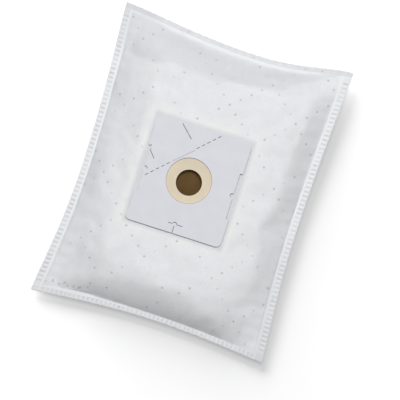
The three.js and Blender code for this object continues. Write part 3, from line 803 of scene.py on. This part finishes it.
def fleece_material(settings):
    """White spunbond fleece with its spot bonds, warmer over the glue, with painted shade on its slopes,
    round the card, in its pockets and creases, and a painted shadow beside the card.
    """
    nodes = Nodes(bpy.data.materials.new("spunbond_fleece"))
    place = nodes.object_place()
    cloth = nodes.add("ShaderNodeUVMap", uv_map="cloth").outputs["UV"]
    fibres = nodes.noise(place, scale=900, detail=3, roughness=0.65)
    clumps = nodes.noise(place, scale=330)
    colour = nodes.clouded(nodes.noise(place, scale=90, detail=3), settings.colour, 0.985)
    colour = nodes.mix(nodes.ramp(clumps, 0.35, 0.7, 0, 0.35), colour, linear(settings.thin_colour))
    # Painted shade on the head slope, beside the left rail and on the lower right rail.
    colour = nodes.mix(nodes.attribute("thin"), colour, linear(settings.slope_shade_colour))
    spread = nodes.ramp(nodes.noise(place, scale=38), 0.38, 0.62, 0.25, 1)
    glue = nodes.times(round_the_card(nodes, cloth, settings.glue_reach), spread)
    colour = nodes.mix(nodes.times(glue, 0.75), colour, linear(settings.glue_colour))
    # Painted shade on the fleece within 6 mm round the card.
    shade_round_card = nodes.times(round_the_card(nodes, cloth, 6 * MM), 0.75)
    colour = nodes.mix(shade_round_card, colour, linear(settings.pocket_and_shade_colour))
    # Painted shadow of the card beside its right and foot edge.
    colour = nodes.mix(painted_card_shadow(nodes, cloth), colour, linear(settings.card_shadow_colour))
    clearness = nodes.ramp(nodes.noise(place, scale=55, detail=1), 0.36, 0.6, 0.15, 1)
    bonds = nodes.times(spot_bonds(nodes, strayed(nodes, place, cloth), settings), clearness)
    colour = nodes.mix(nodes.times(bonds, settings.bond_strength), colour, linear(settings.bond_colour))
    # Rails and rungs are paler. The pressed pockets are greyer fleece, and their colour also paints the shade
    # in them. The crease colour is painted shade in the valley, the creases and the gathers, and greys the
    # pressed head lines.
    for kind, strength, shade in (("ridge", 0.7, settings.ridge_colour),
                                  ("pressed", 0.8, settings.pocket_and_shade_colour),
                                  ("crease", 0.6, settings.pocket_and_shade_colour)):
        colour = nodes.mix(nodes.times(nodes.attribute(kind), strength), colour, linear(shade))
    height = nodes.plus(nodes.times(fibres, 0.5), nodes.times(clumps, 0.8))
    height = nodes.minus(height, nodes.times(bonds, 0.8))
    nodes.set(Base_Color=colour, Roughness=0.92, Specular_IOR_Level=0.25, Sheen_Weight=0.08,
              Sheen_Roughness=0.6, Normal=nodes.bump(height, 0.25 * MM, 0.6))
    return nodes.owner


def ply_material(settings):
    nodes = Nodes(bpy.data.materials.new("brown_filter_ply"))
    place = nodes.object_place()
    fibres = nodes.noise(place, scale=700, detail=4, roughness=0.7)
    colour = nodes.clouded(nodes.noise(place, scale=120), settings.ply_colour, 0.93)
    nodes.set(Base_Color=colour, Roughness=0.95, Specular_IOR_Level=0.2,
              Normal=nodes.bump(fibres, 0.3 * MM, 0.7))
    return nodes.owner


def card_material(settings):
    """Pale bleached card, creased between the runs of the tear line, with painted shade down in its narrow
    cuts, along its edges and in the crease.
    """
    nodes = Nodes(bpy.data.materials.new("bleached_card"))
    place = nodes.object_place()
    fibres = nodes.noise(place, scale=1200, detail=3, roughness=0.6)
    cloud = nodes.noise(place, scale=70, detail=4, roughness=0.6)
    colour = nodes.clouded(cloud, settings.card_colour, 0.985)
    # Painted shade down in the narrow cuts and along the card's edges.
    colour = nodes.mix(nodes.ramp(nodes.openness(1.5 * MM), 0.75, 0.2), colour, linear(settings.cut_shade_colour))
    fold = tear_line(nodes, place)
    # Painted shade in the crease of the tear line.
    colour = nodes.mix(nodes.times(fold, 0.45), colour, linear(settings.card_colour, 0.8))
    creased = nodes.bump(fold, 0.3 * MM)
    nodes.set(Base_Color=colour, Roughness=0.75, Specular_IOR_Level=0.3,
              Normal=nodes.bump(fibres, 0.05 * MM, 0.5, normal=creased))
    return nodes.owner


def tear_line(nodes, place):
    """1 on the crease that joins the two runs of the card's tear line."""
    corner = Vector((CARD_LOW.x, CARD_HIGH.y))
    start, end = corner + Vector(TEAR_START), corner + Vector(TEAR_END)
    length = (end - start).length
    way = (end - start).normalized()
    x, y = nodes.plan(place)
    right, up = nodes.minus(x, start.x), nodes.minus(y, start.y)
    along = nodes.plus(nodes.times(right, way.x), nodes.times(up, way.y))
    across = nodes.minus(nodes.times(right, way.y), nodes.times(up, way.x))
    on_line = nodes.ramp(nodes.math("ABSOLUTE", across), 0.7 * MM, 0.1 * MM)
    between = nodes.times(nodes.ramp(along, 0, 2 * MM), nodes.ramp(along, length, length - 2 * MM))
    return nodes.times(on_line, between)


def rubber_material(settings):
    """Cream rubber with fine rings, with painted shade towards the head and in its recess."""
    nodes = Nodes(bpy.data.materials.new("cream_rubber"))
    place = nodes.object_place()
    cloud = nodes.noise(place, scale=110, detail=3)
    grain = nodes.plus(nodes.noise(place, scale=1500), ring_lines(nodes, place))
    colour = nodes.clouded(cloud, settings.ring_colour, 0.97)
    # Painted shade on the ring's head side, where the card's rim shades it.
    head_side_shade = nodes.ramp(nodes.plus(nodes.plan(place)[1], nodes.times(cloud, 8 * MM)), 10 * MM, 22 * MM)
    colour = nodes.mix(nodes.times(head_side_shade, 0.8), colour, linear(settings.ring_shade_colour))
    shaded = nodes.ramp(nodes.openness(1.5 * MM), 0.85, 0.35)
    colour = nodes.mix(shaded, colour, linear(settings.ring_colour, 0.5))
    nodes.set(Base_Color=colour, Roughness=0.55, Specular_IOR_Level=0.4,
              Normal=nodes.bump(grain, 0.05 * MM, 0.4))
    return nodes.owner


def ring_lines(nodes, place):
    """The fine concentric lines that the mould leaves on the ring."""
    middle = (RING_LOW + RING_HIGH) / 2
    x, y = nodes.plan(place)
    squares = nodes.squares(nodes.minus(x, middle.x), nodes.minus(y, middle.y))
    return nodes.math("SINE", nodes.times(nodes.math("SQRT", squares), math.tau / RING_LINE_PITCH))


# Settings


def length_value(name, description, default):
    return FloatProperty(name=name, description=description, default=default, unit="LENGTH",
                         subtype="DISTANCE")


def share_value(name, description, default, most=1):
    return FloatProperty(name=name, description=description, default=default, subtype="FACTOR",
                         min=0, max=most)


def colour_value(name, description, *default):
    return FloatVectorProperty(name=name, description=description, default=default, subtype="COLOR_GAMMA",
                               size=3, min=0, max=1)


class FleeceSettings(bpy.types.PropertyGroup):
    thickness: length_value("Thickness", "Thickness of the fleece", 0.8 * MM)
    rung_pitch: length_value("Rung pitch", "From one rung of the weld to the next", 4.6 * MM)
    pocket_length: length_value("Pocket length", "Length of a pocket between two rungs", 2.2 * MM)
    pocket_depth: length_value("Pocket depth", "Depth of a pocket of the weld", 0.35 * MM)
    slack: share_value("Slack", "How much longer the cloth is beside the collar than its place", 0.002, 0.2)
    gather: share_value("Gather", "How much longer the cloth is beside the weld than its place", 0.03, 0.2)
    stiffness: FloatProperty(name="Stiffness", description="How the cloth resists stretching",
                             default=20, min=0)
    bending: FloatProperty(name="Bending", description="How the cloth resists bending", default=4, min=0)
    colour: colour_value("Fleece", "Colour of the fleece", 0.905, 0.908, 0.915)
    thin_colour: colour_value("Thin spots", "Colour where the fleece is thin", 0.87, 0.875, 0.885)
    # Colour of the painted shade on the slopes and beside the rails.
    slope_shade_colour: colour_value("Painted slope shade", "Colour where no padding lies behind", 0.85, 0.856, 0.867)
    # Grey of the pressed pockets, also used as painted shade in them, round the card and in the creases.
    pocket_and_shade_colour: colour_value("Pockets and shade", "Colour of the pressed pockets", 0.8, 0.805, 0.815)
    ridge_colour: colour_value("Rails", "Colour of the weld's rails and rungs", 0.94, 0.943, 0.95)
    glue_colour: colour_value("Glue", "Colour of the fleece over the collar's glue", 0.93, 0.926, 0.912)
    glue_reach: length_value("Glue reach", "How far past the card the glue shows", 20 * MM)
    # Colour of the painted shadow beside the card.
    card_shadow_colour: colour_value("Card shadow", "Colour of the fleece in the gap beside the card", 0.68, 0.68, 0.69)
    bond_colour: colour_value("Spot bonds", "Colour of the spot bonds", 0.7, 0.7, 0.71)
    bond_strength: share_value("Bond strength", "How much the spot bonds show", 0.85)
    bond_radius: length_value("Bond radius", "Radius of a spot bond", 1.25 * MM)
    bond_pitch: length_value("Bond pitch", "From one bond of a row to the next", 17.5 * MM)
    bond_rows: length_value("Bond rows", "From one row of bonds to the next", 70 * MM)
    bond_start_x: length_value("Bond start X", "Place of one crossing of two rows", 12 * MM)
    bond_start_y: length_value("Bond start Y", "Place of one crossing of two rows", 87.3 * MM)


class CollarSettings(bpy.types.PropertyGroup):
    card_colour: colour_value("Card", "Colour of the card", 0.845, 0.845, 0.87)
    # Colour of the painted shade in the card's cuts.
    cut_shade_colour: colour_value("Cuts", "Colour down in the card's narrow cuts", 0.2, 0.19, 0.19)
    ring_colour: colour_value("Ring", "Colour of the rubber ring", 0.84, 0.785, 0.688)
    # Colour of the painted shade on the ring's head side.
    ring_shade_colour: colour_value("Ring shade", "Colour of the ring where it is duller", 0.79, 0.745, 0.655)
    ply_colour: colour_value("Ply", "Colour of the filter plies", 0.39, 0.3, 0.175)
    ply_thickness: length_value("Ply thickness", "Thickness of a filter ply", 0.4 * MM)


class StageSettings(bpy.types.PropertyGroup):
    sky: FloatProperty(name="Sky", description="Strength of the even light from all round", default=0.16)
    overhead: FloatProperty(name="Overhead", description="Power of the lamp above the bag", default=45,
                            unit="POWER")
    shadow: FloatProperty(name="Shadow", description="Power of the lamp that draws the shadow on the floor",
                          default=860, unit="POWER")
    turn: FloatProperty(name="Camera turn", description="Turn of the camera about the vertical",
                        default=math.radians(17.7), subtype="ANGLE")
    distance: length_value("Camera distance", "From the camera down to the seam", 3)
    view_width: length_value("View width", "Width that the camera sees at the seam", 0.4)


# Operators


class DUSTBAG_OT_fleece(bpy.types.Operator):
    """Builds the front and the back fleece panel, with their welded edges"""

    bl_idname = "dustbag.fleece"
    bl_label = "Fleece panels"

    def execute(self, context):
        settings = context.scene.dustbag_fleece
        material = fleece_material(settings)
        for front, side, below, cell, cuts in ((True, "front", "back_fleece", FRONT_CELL, FRONT_CUTS),
                                               (False, "back", "floor", BACK_CELL, BACK_CUTS)):
            bm = cut_sheet(cell, front, cuts, settings.thickness)
            panel = shaped(side + "_fleece", bm, bag_panel(front, settings), settings)
            finish_piece(panel, material, "fleece", side + "_panel")
        return {"FINISHED"}


class DUSTBAG_OT_plies(bpy.types.Operator):
    """Builds the filter plies inside the panels"""

    bl_idname = "dustbag.plies"
    bl_label = "Filter plies"

    def execute(self, context):
        fleece, collar = context.scene.dustbag_fleece, context.scene.dustbag_collar
        material = ply_material(collar)
        depth = (fleece.thickness + collar.ply_thickness) / 2 + GAP
        for front, side, rise in ((True, "front", 0), (False, "back", PLY_RISE)):
            bm = cut_sheet(PLY_CELL, front, 0, fleece.thickness)
            round_off(bm, PLY_SHARE)
            ply = shaped(side + "_ply", bm, bag_panel(front, fleece), fleece, depth, welded=False, rise=rise)
            finish_piece(ply, material, "filter_ply", side + "_filter_ply")
        return {"FINISHED"}


class DUSTBAG_OT_collar(bpy.types.Operator):
    """Gives the card collar and the rubber ring their finish"""

    bl_idname = "dustbag.collar"
    bl_label = "Collar"

    def execute(self, context):
        settings = context.scene.dustbag_collar
        card, rubber = card_material(settings), rubber_material(settings)
        finishes = {"collar_face_card": card, "collar_backing_card": card, "inlet_seal_ring": rubber}
        for node, material in finishes.items():
            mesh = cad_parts[node].data
            mesh.materials.clear()
            mesh.materials.append(material)
        return {"FINISHED"}


class DUSTBAG_OT_stage(bpy.types.Operator):
    """Sets the floor, the lights and the camera"""

    bl_idname = "dustbag.stage"
    bl_label = "Stage"

    def execute(self, context):
        settings = context.scene.dustbag_stage
        floor = build_floor()
        light_from_the_sky(settings)
        softbox("overhead", OVERHEAD_PLACE, OVERHEAD_SIZE, settings.overhead)
        ground = bpy.data.collections.new("ground")
        ground.objects.link(floor)
        softbox("shadow_caster", CASTER_PLACE, CASTER_SIZE, settings.shadow, lit=ground)
        place_camera(settings)
        context.scene.view_settings.view_transform = "Standard"
        return {"FINISHED"}


def build_floor():
    bm = bmesh.new()
    bmesh.ops.create_circle(bm, cap_ends=True, segments=FLOOR_SIDES, radius=FLOOR_RADIUS)
    bmesh.ops.translate(bm, vec=(0, 0, -FLOOR_DROP), verts=bm.verts)
    floor = in_scene("floor", mesh_of("floor", bm))
    floor.data.materials.append(floor_material())
    return floor


def floor_material():
    """A grey floor with a glow that lights nothing, so that it looks white and keeps its shadow."""
    nodes = Nodes(bpy.data.materials.new("white_floor"))
    nodes.set(Base_Color=FLOOR_GREY, Roughness=1.0, Specular_IOR_Level=0.0)
    strength = nodes.times(nodes.seen(), FLOOR_GLOW)
    glow = nodes.add("ShaderNodeEmission", {"Color": (1, 1, 1, 1), "Strength": strength})
    both = nodes.add("ShaderNodeAddShader", {0: nodes.shader.outputs[0], 1: glow.outputs[0]})
    nodes.feed(nodes.tree.nodes["Material Output"].inputs["Surface"], both.outputs[0])
    return nodes.owner


def light_from_the_sky(settings):
    """An even, weak light from all round, which the camera sees as white."""
    nodes = Nodes(bpy.data.worlds.new("studio"), "Background")
    strength = nodes.add("ShaderNodeMix", {0: nodes.seen(), 2: settings.sky, 3: 1})
    nodes.set(Color=SKY_COLOUR, Strength=strength.outputs[0])
    bpy.context.scene.world = nodes.owner


def softbox(name, place, size, power, lit=None):
    """A round lamp that shines at the bag. With lit, it lights only that collection."""
    light = bpy.data.lights.new(name, "AREA")
    light.energy = power
    light.shape = "DISK"
    light.size = size
    lamp = in_scene(name, light)
    lamp.location = place
    lamp.rotation_euler = (-Vector(place)).to_track_quat("-Z", "Y").to_euler()
    lamp.visible_camera = False
    if lit:
        lamp.light_linking.receiver_collection = lit


def place_camera(settings):
    data = bpy.data.cameras.new("camera")
    data.sensor_width = SENSOR_WIDTH
    data.lens = SENSOR_WIDTH * settings.distance / settings.view_width
    camera = in_scene("camera", data)
    camera.location = (CAMERA_X, CAMERA_Y, SEAM_HEIGHT + settings.distance)
    camera.rotation_euler = (0, 0, settings.turn)
    bpy.context.scene.camera = camera


class DUSTBAG_PT_panel(bpy.types.Panel):
    bl_idname = "DUSTBAG_PT_panel"
    bl_label = "Dust Bag"
    bl_space_type = "VIEW_3D"
    bl_region_type = "UI"
    bl_category = "Dust Bag"

    def draw(self, context):
        for group in GROUPS:
            box = self.layout.box()
            settings = getattr(context.scene, group)
            for name in settings.__annotations__:
                box.prop(settings, name)
        for operator in OPERATORS:
            self.layout.operator(operator.bl_idname)


GROUPS = {"dustbag_fleece": FleeceSettings, "dustbag_collar": CollarSettings, "dustbag_stage": StageSettings}
OPERATORS = (DUSTBAG_OT_fleece, DUSTBAG_OT_plies, DUSTBAG_OT_collar, DUSTBAG_OT_stage)


def register():
    for cls in (*GROUPS.values(), *OPERATORS, DUSTBAG_PT_panel):
        bpy.utils.register_class(cls)
    for name, group in GROUPS.items():
        setattr(bpy.types.Scene, name, PointerProperty(type=group))


def unregister():
    for name in GROUPS:
        delattr(bpy.types.Scene, name)
    for cls in reversed((*GROUPS.values(), *OPERATORS, DUSTBAG_PT_panel)):
        bpy.utils.unregister_class(cls)


def main():
    register()
    bpy.ops.dustbag.fleece()
    bpy.ops.dustbag.plies()
    bpy.ops.dustbag.collar()
    bpy.ops.dustbag.stage()
    bpy.context.view_layer.update()


if __name__ == "__main__":
    main()
